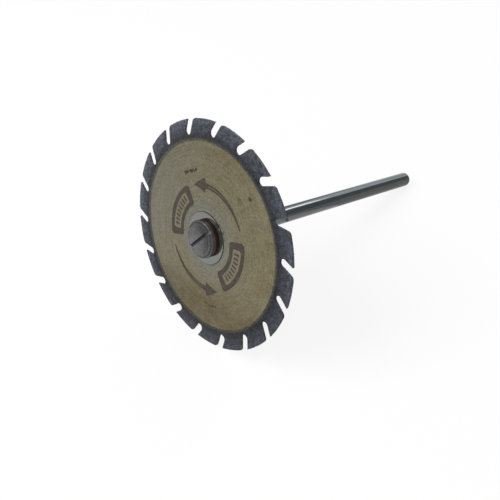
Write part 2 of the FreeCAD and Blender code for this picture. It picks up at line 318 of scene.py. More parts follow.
def turned_mesh(name, outline):
    """A closed mesh turned about the tool's axis. Its UV map runs round it, and along its outline."""
    shape = bmesh.new()
    turns = [FULL_TURN * step / TURN_STEPS for step in range(TURN_STEPS)]
    rings = []
    for radius, height in outline:
        if radius < ON_AXIS:
            rings.append([shape.verts.new((0, 0, height))] * TURN_STEPS)
        else:
            rings.append([shape.verts.new((*polar(radius, turn), height)) for turn in turns])
    uv = shape.loops.layers.uv.new("round")
    for index, ring in enumerate(rings):
        following = rings[(index + 1) % len(rings)]
        for step in range(TURN_STEPS):
            beside = (step + 1) % TURN_STEPS
            around = [(ring[step], step), (ring[beside], step + 1),
                      (following[beside], step + 1), (following[step], step)]
            kept = list(dict(reversed(around)).items())[::-1]
            if len(kept) < 3:
                continue
            face = shape.faces.new([vertex for vertex, _ in kept])
            for loop, (vertex, turn) in zip(face.loops, kept):
                loop[uv].uv = (turn / TURN_STEPS, vertex.co.xy.length + vertex.co.z)
    mesh = mesh_from(shape, name)
    finish_faces(mesh)
    return mesh


def lay_turned(name, replaced, material, corners):
    """Turn a piece from the corners of its outline, and lay it down in place of a packed one."""
    lay_down(name, turned_mesh(name, rounded_outline(corners)), material, [replaced])


def evaluated(piece, name):
    """The piece as its modifiers leave it, as a plain mesh; the piece itself goes."""
    bpy.context.view_layer.update()
    graph = bpy.context.evaluated_depsgraph_get()
    mesh = bpy.data.meshes.new_from_object(piece.evaluated_get(graph), depsgraph=graph)
    mesh.name = name
    old = piece.data
    piece.modifiers.clear()
    bpy.data.objects.remove(piece)
    bpy.data.meshes.remove(old)
    return mesh


def prism_mesh(name, section, reach):
    """A straight bar of one section in Y and Z, reaching equally far to -X and +X."""
    shape = bmesh.new()
    near, far = ([shape.verts.new((end, across, height)) for across, height in section]
                 for end in (-reach, reach))
    shape.faces.new(near)
    shape.faces.new(far)
    for index in range(len(section)):
        beside = (index + 1) % len(section)
        shape.faces.new((near[index], near[beside], far[beside], far[index]))
    return mesh_from(shape, name)


def add_strip(shape, inner, outer, low, high, closed=False):
    """A flat printed strip between two runs of points in the plane, with a thickness."""
    runs = [[shape.verts.new((x, y, height)) for x, y in run]
            for height in (low, high) for run in (inner, outer)]
    low_inner, low_outer, high_inner, high_outer = runs
    count = len(inner)
    last = count if closed else count - 1
    for index in range(last):
        beside = (index + 1) % count
        for one, two in ((low_inner, low_outer), (low_outer, high_outer),
                         (high_outer, high_inner), (high_inner, low_inner)):
            shape.faces.new((one[index], one[beside], two[beside], two[index]))
    if not closed:
        for end in (0, -1):
            shape.faces.new([run[end] for run in (low_inner, low_outer, high_outer, high_inner)])


# Nodes


class Nodes:
    """The nodes of one tree. Each method adds a node and gives back it or its output."""

    def __init__(self, tree):
        self.tree = tree
        self.tree.nodes.clear()

    def node(self, kind, sockets=None, **settings):
        """A node with its settings. Each socket is given a value, or the output that feeds it."""
        made = self.tree.nodes.new(kind)
        for key, value in settings.items():
            setattr(made, key, value)
        for key, value in (sockets or {}).items():
            if isinstance(value, bpy.types.NodeSocket):
                self.tree.links.new(value, made.inputs[key])
            else:
                made.inputs[key].default_value = value
        return made

    def math(self, operation, one, two=0.0):
        return self.node("ShaderNodeMath", {0: one, 1: two}, operation=operation).outputs["Value"]

    def times(self, one, two):
        return self.math("MULTIPLY", one, two)

    def plus(self, one, two):
        return self.math("ADD", one, two)

    def spread(self, value, low, high, to_low=0.0, to_high=1.0, smooth=False):
        """A value's range from low to high, drawn out into another range."""
        made = self.node("ShaderNodeMapRange", {
            "Value": value, "From Min": low, "From Max": high, "To Min": to_low, "To Max": to_high},
            interpolation_type="SMOOTHSTEP" if smooth else "LINEAR")
        return made.outputs["Result"]

    def between(self, share, at_none, at_full):
        """A number that goes with a share of nothing to one."""
        return self.spread(share, 0.0, 1.0, at_none, at_full)


class Copies(Nodes):
    """A Geometry Nodes group with named inputs, which sets many copies of a shape."""

    def __init__(self, name, inputs):
        super().__init__(bpy.data.node_groups.new(name, "GeometryNodeTree"))
        face = self.tree.interface
        self.called = {}
        for label, kind in inputs.items():
            socket = face.new_socket(label, in_out="INPUT", socket_type="NodeSocket" + kind)
            self.called[label] = socket.identifier
        face.new_socket("Geometry", in_out="OUTPUT", socket_type="NodeSocketGeometry")
        self.start = self.node("NodeGroupInput").outputs

    def end(self, instances, material):
        """Ends the group in real meshes of one material."""
        realize = self.node("GeometryNodeRealizeInstances", {"Geometry": instances})
        paint = self.node("GeometryNodeSetMaterial", {
            "Geometry": realize.outputs["Geometry"], "Material": material})
        self.node("NodeGroupOutput", {"Geometry": paint.outputs["Geometry"]})
        return self

    def grown(self, name, mesh, values):
        """What the group makes of a mesh, as a plain mesh."""
        holder = new_object(name + "_holder", mesh)
        modifier = holder.modifiers.new("copies", "NODES")
        modifier.node_group = self.tree
        for label, value in values.items():
            modifier[self.called[label]] = value
        return evaluated(holder, name)


class Finish(Nodes):
    """A material's nodes, with the surface's place in the tool's own frame, in millimetres."""

    def __init__(self, name):
        self.material = new_material(name)
        super().__init__(self.material.node_tree)
        mapping = self.node("ShaderNodeMapping", {
            "Vector": self.node("ShaderNodeTexCoord").outputs["Object"],
            "Location": TOOL.to_translation(), "Rotation": TOOL.to_euler(),
            "Scale": (MM, MM, MM)}, vector_type="TEXTURE")
        self.point = mapping.outputs["Vector"]
        self.x, self.y, self.z = self.parts(self.point)
        out = self.node("ShaderNodeVectorMath", {0: self.joined(self.x, self.y)}, operation="LENGTH")
        self.radius = out.outputs["Value"]

    def parts(self, vector):
        return self.node("ShaderNodeSeparateXYZ", {"Vector": vector}).outputs

    def joined(self, x=0.0, y=0.0, z=0.0):
        return self.node("ShaderNodeCombineXYZ", {"X": x, "Y": y, "Z": z}).outputs["Vector"]

    def noise(self, scale, detail, roughness, vector=None):
        made = self.node("ShaderNodeTexNoise", {
            "Vector": self.point if vector is None else vector,
            "Scale": scale, "Detail": detail, "Roughness": roughness})
        return made.outputs["Fac"]

    def varied(self, noise, low, high):
        """A number that goes from low to high over most of a noise's range."""
        return self.spread(noise, *NOISE_RANGE, low, high)

    def towards(self, bearing, reach):
        """Nothing at the disc's middle, and one at a distance from it towards a bearing."""
        way = (*polar(1, math.radians(bearing)), 0)
        along = self.node("ShaderNodeVectorMath", {0: self.point, 1: way}, operation="DOT_PRODUCT")
        return self.spread(along.outputs["Value"], 0.0, reach)

    def turning_lines(self, fineness, drawn_out=1.6):
        """Noise drawn out round the axis, as a lathe or a polishing pad leaves it."""
        x, y = (self.times(self.math("DIVIDE", each, self.radius), drawn_out)
                for each in (self.x, self.y))
        return self.noise(1.0, 5.0, 0.65, self.joined(self.times(self.radius, fineness), x, y))

    def mix(self, share, one, two, blend="MIX"):
        one, two = (each if isinstance(each, bpy.types.NodeSocket) else (*each, 1)
                    for each in (one, two))
        sockets = {0: share, 6: one, 7: two}
        return self.node("ShaderNodeMix", sockets, data_type="RGBA", blend_type=blend).outputs[2]

    def tinted(self, base, shade):
        """A colour made darker or lighter by a number."""
        return self.mix(1.0, base, self.joined(shade, shade, shade), "MULTIPLY")

    def surface(self, base, roughness, metallic=0.0, relief=None, **others):
        """Ends the material in one shader. The relief is a height, its depth in mm and its strength."""
        sockets = {"Base Color": base, "Roughness": roughness, "Metallic": metallic}
        if relief is not None:
            height, depth, strength = relief
            bump = self.node("ShaderNodeBump", {
                "Height": height, "Distance": depth * MM, "Strength": strength})
            sockets["Normal"] = bump.outputs["Normal"]
        for name, value in others.items():
            sockets[name.replace("_", " ")] = value
        shader = self.node("ShaderNodeBsdfPrincipled", sockets)
        self.node("ShaderNodeOutputMaterial", {"Surface": shader.outputs["BSDF"]})
        return self.material


# Finishes

# Stain, a dark band, the driver slot's grime with painted shade, and its painted highlight, in linear
# light.
STAIN = (0.062, 0.032, 0.014)
DARK_WALL_BAND = (0.022, 0.022, 0.018)
SLOT_DIRT_AND_SHADE = (0.085, 0.077, 0.1)
PALE_SLOT_DIRT_AND_SHADE = (0.14, 0.13, 0.155)
SLOT_END_HIGHLIGHT = (0.27, 0.28, 0.28)

# Bearings in the disc's plane, in degrees, towards which its finishes change, and how far out in mm:
# painted shade on the low side of the face and the rim, a painted sheen and painted light on two other
# sides of the face, and painted light on the rim's high side.
PAINTED_SHADE_SIDE = 187
PAINTED_SHEEN_SIDE = 80
PAINTED_LIGHT_SIDE = 262
FACE_REACH = 12.0
RIM_SHADED_SIDE = 200
RIM_LIT_SIDE = 60
RIM_REACH = 14.0

# Stains and specks of the gilt face: place in the disc's plane in mm, radius, strength.
GILT_SPOTS = (
    (8.22, -6.67, 0.34, 1.0),
    (7.33, -5.04, 0.62, 0.34),
    (6.5, -5.9, 0.45, 0.22),
    (2.1, -3.05, 0.3, 0.6),
    (2.9, -2.2, 0.22, 0.7),
    (1.35, -3.45, 0.2, 0.5),
    (-4.56, 8.08, 0.13, 0.75),
    (3.05, 3.33, 0.12, 0.6),
    (11.03, 2.53, 0.13, 0.6),
    (9.4, -3.1, 0.14, 0.4),
    (-7.9, -6.2, 0.12, 0.5),
    (-9.6, 3.4, 0.15, 0.4),
)


def gilt_finish():
    """Gold-toned lacquered steel: turning lines, browned patches and specks, paler at the hub, with
    painted shade on its low side and painted light and sheen on two others.
    """
    tone = colours()
    finish = Finish("gilt_steel_finish")
    patches = finish.noise(0.5, 6.0, 0.75)
    speckle = finish.noise(6.0, 3.0, 0.75)
    lines = finish.turning_lines(4.5)
    fine_lines = finish.turning_lines(14.0, 2.4)
    # Painted shade: the face grows browner and darker towards its low side.
    painted_shade = finish.spread(finish.towards(PAINTED_SHADE_SIDE, FACE_REACH), 0.4, 0.88, smooth=True)
    brown = finish.spread(patches, 0.42, 0.7)
    brown = finish.times(brown, finish.spread(finish.radius, 5.0, 12.2, 0.15, 0.7))
    brown = finish.plus(brown, finish.times(painted_shade, 0.55))
    base = finish.mix(finish.math("MINIMUM", brown, 1.0), tone.gilt, tone.gilt_brown)
    hub = finish.spread(finish.radius, 3.5, 7.4, 0.9, 0.0, smooth=True)
    # Painted sheen: the face is paler towards one side.
    painted_sheen = finish.times(finish.towards(PAINTED_SHEEN_SIDE, FACE_REACH), 0.75)
    base = finish.mix(finish.math("MAXIMUM", hub, painted_sheen), base, tone.gilt_pale)
    shade = finish.plus(finish.varied(lines, -0.12, 0.12), finish.varied(fine_lines, -0.2, 0.2))
    shade = finish.plus(shade, finish.varied(speckle, 0.6, 1.4))
    # Painted light: the face is lighter towards another side.
    window = finish.towards(PAINTED_LIGHT_SIDE, FACE_REACH)
    shade = finish.times(shade, finish.between(window, 1.0, 1.14))
    # Painted shade darkens the face towards its low side.
    shade = finish.times(shade, finish.between(painted_shade, 1.0, 0.82))
    base = finish.tinted(base, shade)
    cells = finish.node("ShaderNodeTexVoronoi", {"Vector": finish.point, "Scale": 1.3}).outputs
    chosen = finish.math("GREATER_THAN", finish.parts(cells["Color"])[0], 0.8)
    speck = finish.times(chosen, finish.spread(cells["Distance"], 0.05, 0.13, 0.6, 0.0))
    for x, y, across, strength in GILT_SPOTS:
        middle = (x, y, sizes().blank_top / MM)
        away = finish.node("ShaderNodeVectorMath", {0: finish.point, 1: middle}, operation="DISTANCE")
        ragged = finish.varied(speckle, -0.4 * across, 0.4 * across)
        ragged = finish.plus(away.outputs["Value"], ragged)
        spot = finish.spread(ragged, 0.35 * across, across, strength, 0.0)
        speck = finish.math("MAXIMUM", speck, spot)
    base = finish.mix(speck, base, STAIN)
    height = finish.plus(finish.times(fine_lines, 0.7), finish.times(speckle, 0.5))
    return finish.surface(base, finish.varied(patches, 0.42, 0.52), 0.45, (height, 0.012, 0.6))


def tooth_mask(finish):
    """More in the middle of each tooth and towards its tip, and nothing at the rim's inside."""
    size = sizes()
    slot_end = size.slot_end_radius / MM
    lean_rate = math.tan(size.slot_lean) / slot_end
    leaned = finish.times(finish.plus(finish.radius, -slot_end), lean_rate)
    turn = finish.plus(finish.math("ARCTAN2", finish.y, finish.x), leaned)
    turn = finish.plus(turn, -size.slot_clock)
    share = finish.times(turn, size.slot_count / FULL_TURN)
    share = finish.math("FRACT", finish.plus(share, size.slot_count))
    from_slot = finish.math("ABSOLUTE", finish.plus(share, -0.5))
    across = finish.spread(from_slot, 0.2, 0.42, 1.0, 0.7, smooth=True)
    along = finish.spread(finish.radius, 13.0, 13.7, 0.0, 0.7, smooth=True)
    at_edge = finish.spread(finish.radius, 14.0, 14.7, 0.0, 0.62, smooth=True)
    return finish.times(across, finish.plus(along, at_edge))


def grit_clumps_and_shade(finish):
    """How the grit lies thicker and thinner, with painted shade on the rim's low side and painted light
    on its high side.
    """
    loose = finish.spread(finish.noise(2.6, 2.0, 0.7), 0.32, 0.68, 0.7, 1.32)
    # Painted shade towards the rim's low side, and painted light towards its high side.
    low = finish.between(finish.towards(RIM_SHADED_SIDE, RIM_REACH), 1.0, 0.72)
    high = finish.between(finish.towards(RIM_LIT_SIDE, RIM_REACH), 0.0, 0.3)
    return finish.times(loose, finish.plus(low, high))


def bond_finish():
    """The rim's nickel bond: matt, dark, rough with grit, paler in the worn middle of each tooth, with
    painted shade and light across the rim.
    """
    tone = colours()
    finish = Finish("diamond_bond_finish")
    patches = finish.noise(1.3, 3.0, 0.6)
    fine = finish.noise(9.0, 3.0, 0.8)
    worn = finish.times(tooth_mask(finish), finish.spread(patches, 0.3, 0.65, 0.35, 1.0))
    base = finish.mix(worn, tone.bond, tone.bond_pale)
    inside = sizes().coat_inner_radius / MM
    thin = finish.spread(finish.radius, inside, inside + 0.4, 0.45, 0.0)
    base = finish.mix(thin, base, tone.gilt)
    shade = finish.times(finish.varied(fine, 0.7, 1.3), grit_clumps_and_shade(finish))
    return finish.surface(finish.tinted(base, shade), 0.62, 0.35, (fine, 0.03, 0.8))


def grain_finish():
    """Diamond grains: dull crystals, each of its own grey, under the rim's painted shade and light."""
    tone = colours()
    finish = Finish("diamond_grain_finish")
    own = finish.node("ShaderNodeAttribute", attribute_name="grain_tone").outputs["Fac"]
    lift = finish.times(own, finish.between(tooth_mask(finish), 0.5, 1.0))
    base = finish.mix(lift, tone.grain_dark, tone.grain_pale)
    return finish.surface(finish.tinted(base, grit_clumps_and_shade(finish)), 0.4, 0.1)


def ink_finish():
    """Purple-brown printing, rubbed thin in patches."""
    tone = colours()
    finish = Finish("printing_ink_finish")
    worn = finish.spread(finish.noise(2.2, 5.0, 0.75), 0.5, 0.68)
    fine = finish.noise(9.0, 3.0, 0.8)
    base = finish.tinted(finish.mix(worn, tone.ink, tone.ink_worn), finish.varied(fine, 0.75, 1.25))
    return finish.surface(base, 0.6, relief=(fine, 0.005, 0.5), Specular_IOR_Level=0.3)


def washer_finish():
    """Mirror-polished steel, with a ragged dark band on the washer's outer wall."""
    finish = Finish("polished_washer_finish")
    haze = finish.noise(2.5, 4.0, 0.6)
    wall = finish.spread(finish.radius, 3.44, 3.49)
    dark_band = finish.times(wall, finish.spread(haze, 0.3, 0.6, 0.75, 1.0))
    base = finish.mix(dark_band, colours().washer, DARK_WALL_BAND)
    smear = finish.spread(haze, 0.35, 0.7, 0.04, 0.13)
    return finish.surface(base, finish.plus(smear, finish.times(dark_band, 0.4)), 1.0)


def fibre_finish():
    """Red vulcanised fibre, darkened by oil in patches."""
    tone = colours()
    finish = Finish("red_fibre_finish")
    stain = finish.spread(finish.noise(0.8, 4.0, 0.65), 0.38, 0.62)
    hairs = finish.noise(12.0, 4.0, 0.7)
    base = finish.mix(stain, tone.fibre, tone.fibre_dark)
    return finish.surface(base, 0.5, relief=(hairs, 0.01, 0.6), Specular_IOR_Level=0.4)


def screw_finish():
    """Turned steel: its highlight runs across the turning rings, and stains sit in them."""
    finish = Finish("turned_screw_finish")
    lines = finish.noise(16.0, 4.0, 0.7, finish.joined(finish.radius))
    stain = finish.noise(1.4, 4.0, 0.65)
    side = finish.spread(finish.radius, 2.2, 2.4)
    edge = finish.spread(finish.radius, 2.05, 2.3, 0.0, 0.2)
    shade = finish.times(finish.varied(lines, 0.85, 1.12), finish.spread(stain, 0.3, 0.75, 1.1, 0.75))
    shade = finish.times(shade, finish.between(side, 1.0, 0.72))
    base = finish.tinted(colours().screw, shade)
    roughness = finish.plus(finish.varied(stain, 0.17, 0.28), edge)
    tangent = finish.node("ShaderNodeTangent", direction_type="UV_MAP", uv_map="round")
    return finish.surface(
        base, roughness, 1.0, (lines, 0.004, 0.6),
        Anisotropic=finish.between(side, 0.7, 0.1), Tangent=tangent.outputs["Tangent"])


def slot_finish():
    """Grime and painted shade on the floor and walls of the driver slot, with a painted highlight at one
    end.
    """
    finish = Finish("driver_slot_finish")
    patches = finish.noise(3.0, 4.0, 0.7)
    # Grime with painted shade: the slot's floor and walls are dark.
    base = finish.mix(finish.spread(patches, 0.35, 0.7), SLOT_DIRT_AND_SHADE, PALE_SLOT_DIRT_AND_SHADE)
    end = math.degrees(sizes().driver_slot_angle) + 180
    # Painted highlight at the end where the slot leaves the head.
    highlight_reach = finish.plus(finish.towards(end, 1.0), finish.times(patches, 0.5))
    bright = finish.times(finish.spread(highlight_reach, 0.7, 1.3),
                          finish.spread(finish.towards(end, 2.4), 0.45, 0.95))
    base = finish.mix(bright, base, SLOT_END_HIGHLIGHT)
    return finish.surface(base, 0.42, 0.5, (patches, 0.01, 0.6))


def shank_finish():
    """Ground and polished steel: faint rings round the shank and a little haze."""
    finish = Finish("ground_shank_finish")
    rings = finish.noise(1.6, 5.0, 0.7, finish.joined(finish.times(finish.z, 6.0)))
    haze = finish.noise(0.5, 4.0, 0.6)
    base = finish.tinted(colours().shank, finish.varied(haze, 0.92, 1.08))
    return finish.surface(base, finish.varied(haze, 0.05, 0.12), 1.0, (rings, 0.002, 0.4))


def dress_node(node, material):
    """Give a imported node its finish; its mesh stays as it is."""
    mesh = frame["nodes"][node].data
    mesh.materials.clear()
    mesh.materials.append(material)


# Pieces


class CUTTING_DISC_OT_finish_blank(bpy.types.Operator):
    """Give the steel blank its gold-toned lacquer"""

    bl_idname = "cutting_disc.finish_blank"
    bl_label = "Finish the Blank"

    def execute(self, context):
        dress_node("disc_blank", gilt_finish())
        return {"FINISHED"}


def coat_skin():
    """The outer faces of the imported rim, which carry the grains, in the tool's own frame."""
    size = sizes()
    mesh = frame["nodes"]["diamond_coat"].data.copy()
    mesh.transform(TOOL.inverted())
    shape = bmesh.new()
    shape.from_mesh(mesh)
    bpy.data.meshes.remove(mesh)
    same = 0.001 * MM
    near = 0.01 * MM
    bmesh.ops.remove_doubles(shape, verts=shape.verts, dist=same)
    inner = [face for face in shape.faces
             if any(abs(vertex.co.z) < size.rim_top - near for vertex in face.verts)
             and face.calc_center_median().xy.length < size.disc_diameter / 2 - near]
    bmesh.ops.delete(shape, geom=inner, context="FACES")
    return mesh_from(shape, "coat_skin", outwards=False)


def grain_copies(material):
    """Nodes that scatter small crystals over a surface, each turned and sized by chance."""
    nodes = Copies("scatter_grains", {
        "Geometry": "Geometry", "Spacing": "Float", "Grain size": "Float", "Seed": "Int"})
    start, seed = nodes.start, nodes.start["Seed"]
    scatter = nodes.node("GeometryNodeDistributePointsOnFaces", {
        "Mesh": start["Geometry"], "Distance Min": start["Spacing"], "Density Max": MOST_GRAINS,
        "Seed": seed}, distribute_method="POISSON")
    crystal = nodes.node("GeometryNodeMeshUVSphere", {
        "Segments": 4, "Rings": 2, "Radius": nodes.times(start["Grain size"], 0.5)})
    turn = nodes.node("FunctionNodeRandomValue", {
        "Max": (FULL_TURN,) * 3, "Seed": seed}, data_type="FLOAT_VECTOR")
    stretch = nodes.node("FunctionNodeRandomValue", {
        "Min": (0.55,) * 3, "Max": (1.15,) * 3, "Seed": seed}, data_type="FLOAT_VECTOR")
    tone = nodes.node("FunctionNodeRandomValue", {"Seed": seed}, data_type="FLOAT")
    place = nodes.node("GeometryNodeInstanceOnPoints", {
        "Points": scatter.outputs["Points"], "Instance": crystal.outputs["Mesh"],
        "Rotation": turn.outputs["Value"], "Scale": stretch.outputs["Value"]})
    keep = nodes.node("GeometryNodeStoreNamedAttribute", {
        "Geometry": place.outputs["Instances"], "Name": "grain_tone", "Value": tone.outputs[1]},
        data_type="FLOAT", domain="INSTANCE")
    return nodes.end(keep.outputs["Geometry"], material)


class CUTTING_DISC_OT_coat_rim(bpy.types.Operator):
    """Give the rim its bond metal and set diamond grains in it"""

    bl_idname = "cutting_disc.coat_rim"
    bl_label = "Coat the Rim"

    def execute(self, context):
        size = sizes()
        dress_node("diamond_coat", bond_finish())
        mesh = grain_copies(grain_finish()).grown("rim_grains", coat_skin(), {
            "Spacing": size.grain_spacing, "Grain size": size.grain_size, "Seed": GRAIN_SEED})
        self.clear_ground(mesh, size.grain_size / 4)
        lay_down("rim_grains", mesh)
        return {"FINISHED"}

    def clear_ground(self, mesh, least):
        """Take away the grains that would reach below the ground that the rim stands on."""
        shape = bmesh.new()
        shape.from_mesh(mesh)
        sunk = {vertex for vertex in shape.verts if (TOOL @ vertex.co).z < least}
        # Two steps along its edges reach the whole of a crystal.
        for _ in range(2):
            sunk.update([end for vertex in sunk for edge in vertex.link_edges for end in edge.verts])
        bmesh.ops.delete(shape, geom=list(sunk), context="VERTS")
        shape.to_mesh(mesh)
        shape.free()


def arrow_runs(radius):
    """Inner and outer runs of an arrow, in turn from its tail: the tail, the split shaft, the head."""
    tail = [(-57, 0.11), (-52, 0.15), (-46, 0.19), (-38, 0.23), (-30, 0.27), (-24, 0.29)]
    split = [(-24, 0.29, 0.01), (-18, 0.30, 0.03), (-10, 0.31, 0.04), (-2, 0.32, 0.05), (5, 0.33, 0.05)]
    head = [(5, 0.33, 0.33), (9.4, 0.42, 0.42), (10.2, 0.95, 1.0), (14, 0.79, 0.82), (19, 0.51, 0.52),
            (24, 0.24, 0.25), (28.4, 0.03, 0.03)]
    yield [(turn, radius - half * MM, radius + half * MM) for turn, half in tail]
    yield [(turn, radius - half * MM, radius - gap * MM) for turn, half, gap in split]
    yield [(turn, radius + gap * MM, radius + half * MM) for turn, half, gap in split]
    yield [(turn, radius - inner * MM, radius + outer * MM) for turn, inner, outer in head]


def finer(run, parts=4):
    """More stations along a run, evenly between the given ones."""
    points = []
    for one, two in zip(run, run[1:]):
        for step in range(parts):
            share = step / parts
            points.append(tuple(a + (b - a) * share for a, b in zip(one, two)))
    return points + [run[-1]]


def bent_bar(radius, half_width, half_length, rounding, along=20, corner=6):
    """A closed run of points round a bar with rounded corners that is bent along a circle."""
    runs = []
    for side, turned in ((1, 0), (1, 1), (-1, 2), (-1, 3)):
        up = 1 if turned in (0, 3) else -1
        centre = (side * (half_length - rounding), up * (half_width - rounding))
        for step in range(corner + 1):
            spoke = math.pi / 2 * (1 - turned - step / corner)
            runs.append((centre[0] + rounding * math.cos(spoke), centre[1] + rounding * math.sin(spoke)))
        if turned in (1, 3):
            ahead = -side * (half_length - rounding)
            start = runs[-1][0]
            runs += [(start + (ahead - start) * step / along, runs[-1][1]) for step in range(1, along)]
    return [polar(radius + up, -along_it / radius) for along_it, up in runs]


def tick_copies(material):
    """Nodes that set small bars across an arc, at equal steps."""
    nodes = Copies("set_ticks", {
        "Count": "Int", "Radius": "Float", "Start angle": "Float", "Sweep angle": "Float",
        "Bar size": "Vector", "Height": "Float"})
    start = nodes.start
    arc = nodes.node("GeometryNodeCurveArc", {
        "Resolution": start["Count"], "Radius": start["Radius"],
        "Start Angle": start["Start angle"], "Sweep Angle": start["Sweep angle"]})
    points = nodes.node("GeometryNodeCurveToPoints", {
        "Curve": arc.outputs["Curve"], "Count": start["Count"]})
    outwards = nodes.node("GeometryNodeInputPosition").outputs["Position"]
    turn = nodes.node("FunctionNodeAlignRotationToVector", {"Vector": outwards},
                      axis="X", pivot_axis="Z")
    bar = nodes.node("GeometryNodeMeshCube", {"Size": start["Bar size"]})
    place = nodes.node("GeometryNodeInstanceOnPoints", {
        "Points": points.outputs["Points"], "Instance": bar.outputs["Mesh"],
        "Rotation": turn.outputs["Rotation"]})
    lift = nodes.node("ShaderNodeCombineXYZ", {"Z": start["Height"]})
    move = nodes.node("GeometryNodeTransform", {
        "Geometry": place.outputs["Instances"], "Translation": lift.outputs["Vector"]})
    return nodes.end(move.outputs["Geometry"], material)


class CUTTING_DISC_OT_print_face(bpy.types.Operator):
    """Print the turning arrows, two plain panels and a few worn flecks on the front face"""

    bl_idname = "cutting_disc.print_face"
    bl_label = "Print the Face"

    def execute(self, context):
        size = sizes()
        material = ink_finish()
        low = size.blank_top
        high = low + size.ink_thickness
        for name, draw in (("rotation_arrows", self.draw_arrows), ("print_panels", self.draw_panels),
                           ("print_flecks", self.draw_flecks)):
            shape = bmesh.new()
            draw(shape, low, high)
            lay_down(name, mesh_from(shape, name), material)
        self.set_ticks(material, (low + high) / 2)
        return {"FINISHED"}

    def draw_arrows(self, shape, low, high):
        chance = random.Random(3)
        size = sizes()
        for half_turn, radius in ((0.0, size.arrow_one_radius), (math.pi, size.arrow_two_radius)):
            for run in arrow_runs(radius):
                inner, outer = [], []
                for bearing, inside, outside in finer(run):
                    turn = math.radians(bearing) + half_turn
                    inner.append(polar(inside + chance.uniform(-1, 1) * INK_WANDER * MM, turn))
                    outer.append(polar(outside + chance.uniform(-1, 1) * INK_WANDER * MM, turn))
                add_strip(shape, inner, outer, low, high)

    def draw_panels(self, shape, low, high):
        for bearing in PANEL_BEARINGS:
            turn = Matrix.Rotation(math.radians(bearing), 2)
            runs = []
            for measures in (PANEL_FIELD, PANEL_EDGE):
                bar = bent_bar(sizes().panel_radius, *(each * MM for each in measures))
                runs.append([tuple(turn @ Vector(point)) for point in bar])
            add_strip(shape, *runs, low, high, closed=True)

    def draw_flecks(self, shape, low, high):
        """What is left of two lines of print, rubbed down to flecks."""
        chance = random.Random(11)
        for radius, start, stop, count in FLECK_ROWS:
            for step in range(count):
                turn = math.radians(start + (stop - start) * step / count + chance.uniform(-0.4, 0.4))
                off_row = chance.uniform(-FLECK_WANDER, FLECK_WANDER)
                centre = Vector(polar((radius + off_row) * MM, turn))
                across = chance.uniform(*FLECK_SIZES) * MM
                spokes = [FULL_TURN * each / FLECK_CORNERS for each in range(FLECK_CORNERS)]
                edge = [tuple(centre + Vector(polar(across * chance.uniform(0.5, 1.2), spoke)))
                        for spoke in spokes]
                heart = [tuple(centre.lerp(Vector(point), 0.1)) for point in edge]
                add_strip(shape, heart, edge, low, high, closed=True)

    def set_ticks(self, material, height):
        size = sizes()
        ticks = tick_copies(material)
        sweep = math.radians(TICK_SWEEP)
        for name, bearing in zip(("panel_ticks_one", "panel_ticks_two"), PANEL_BEARINGS):
            mesh = ticks.grown(name, bpy.data.meshes.new(name + "_holder"), {
                "Count": TICK_COUNT,
                "Radius": size.panel_radius,
                "Start angle": math.radians(bearing) - sweep / 2,
                "Sweep angle": sweep,
                "Bar size": (*(each * MM for each in TICK_SIZE), size.ink_thickness),
                "Height": height,
            })
            lay_down(name, mesh)


def head_face(size):
    """The head's face from its middle outwards, with the shallow rings that the lathe leaves."""
    chance = random.Random(5)
    reach = size.head_diameter / 2 - size.head_rounding * 1.4
    middle = size.head_top + size.head_crown / 2
    points = [(0.0, middle)]
    for ring in range(int(reach / size.facing_pitch)):
        depth = size.facing_depth * chance.uniform(*RING_DEPTHS)
        for step in range(1, RING_STEPS + 1):
            radius = size.facing_pitch * (ring + step / RING_STEPS)
            dip = depth * (0.5 - 0.5 * math.cos(FULL_TURN * step / RING_STEPS))
            fall = size.head_crown * (radius / reach) ** 2
            points.append((radius, middle - fall - dip))
    return points


class CUTTING_DISC_OT_turn_screw(bpy.types.Operator):
    """Turn the screw, face its head and cut the driver slot"""

    bl_idname = "cutting_disc.turn_screw"
    bl_label = "Turn the Screw"

    def execute(self, context):
        size = sizes()
        head, stem = size.head_diameter / 2, size.stem_diameter / 2
        face = head_face(size)
        rounded = rounded_outline([
            (*face[-1], 0),
            (head, size.head_top - size.head_crown / 2, size.head_rounding),
            (head, size.head_seat, 0.03 * MM),
            (stem, size.head_seat, 0),
            (stem, size.stem_end, 0.15 * MM),
            (0, size.stem_end, 0),
        ])
        outline = [Vector(point) for point in face] + rounded[1:]
        screw = new_object("screw_blank", turned_mesh("screw_blank", outline))
        cutter = new_object("driver_cutter", self.cutter_mesh(size))
        cutter.data.materials.append(slot_finish())
        screw.data.materials.append(screw_finish())
        cut = screw.modifiers.new("driver_slot", "BOOLEAN")
        cut.operation = "DIFFERENCE"
        cut.solver = "EXACT"
        cut.material_mode = "TRANSFER"
        cut.object = cutter
        mesh = evaluated(screw, "turned_screw")
        bpy.data.objects.remove(cutter)
        finish_faces(mesh)
        lay_down("turned_screw", mesh, replaces=["screw"])
        return {"FINISHED"}

    def cutter_mesh(self, size):
        """A bar the shape of the driver slot, reaching clear of the head all round."""
        half = size.driver_slot_width / 2
        floor = size.head_top - size.driver_slot_depth
        clear = size.head_top + size.head_crown
        section = [(-half, floor), (half, floor), (half, clear), (-half, clear)]
        mesh = prism_mesh("driver_cutter", section, size.head_diameter)
        mesh.transform(Matrix.Rotation(size.driver_slot_angle, 4, "Z"))
        return mesh


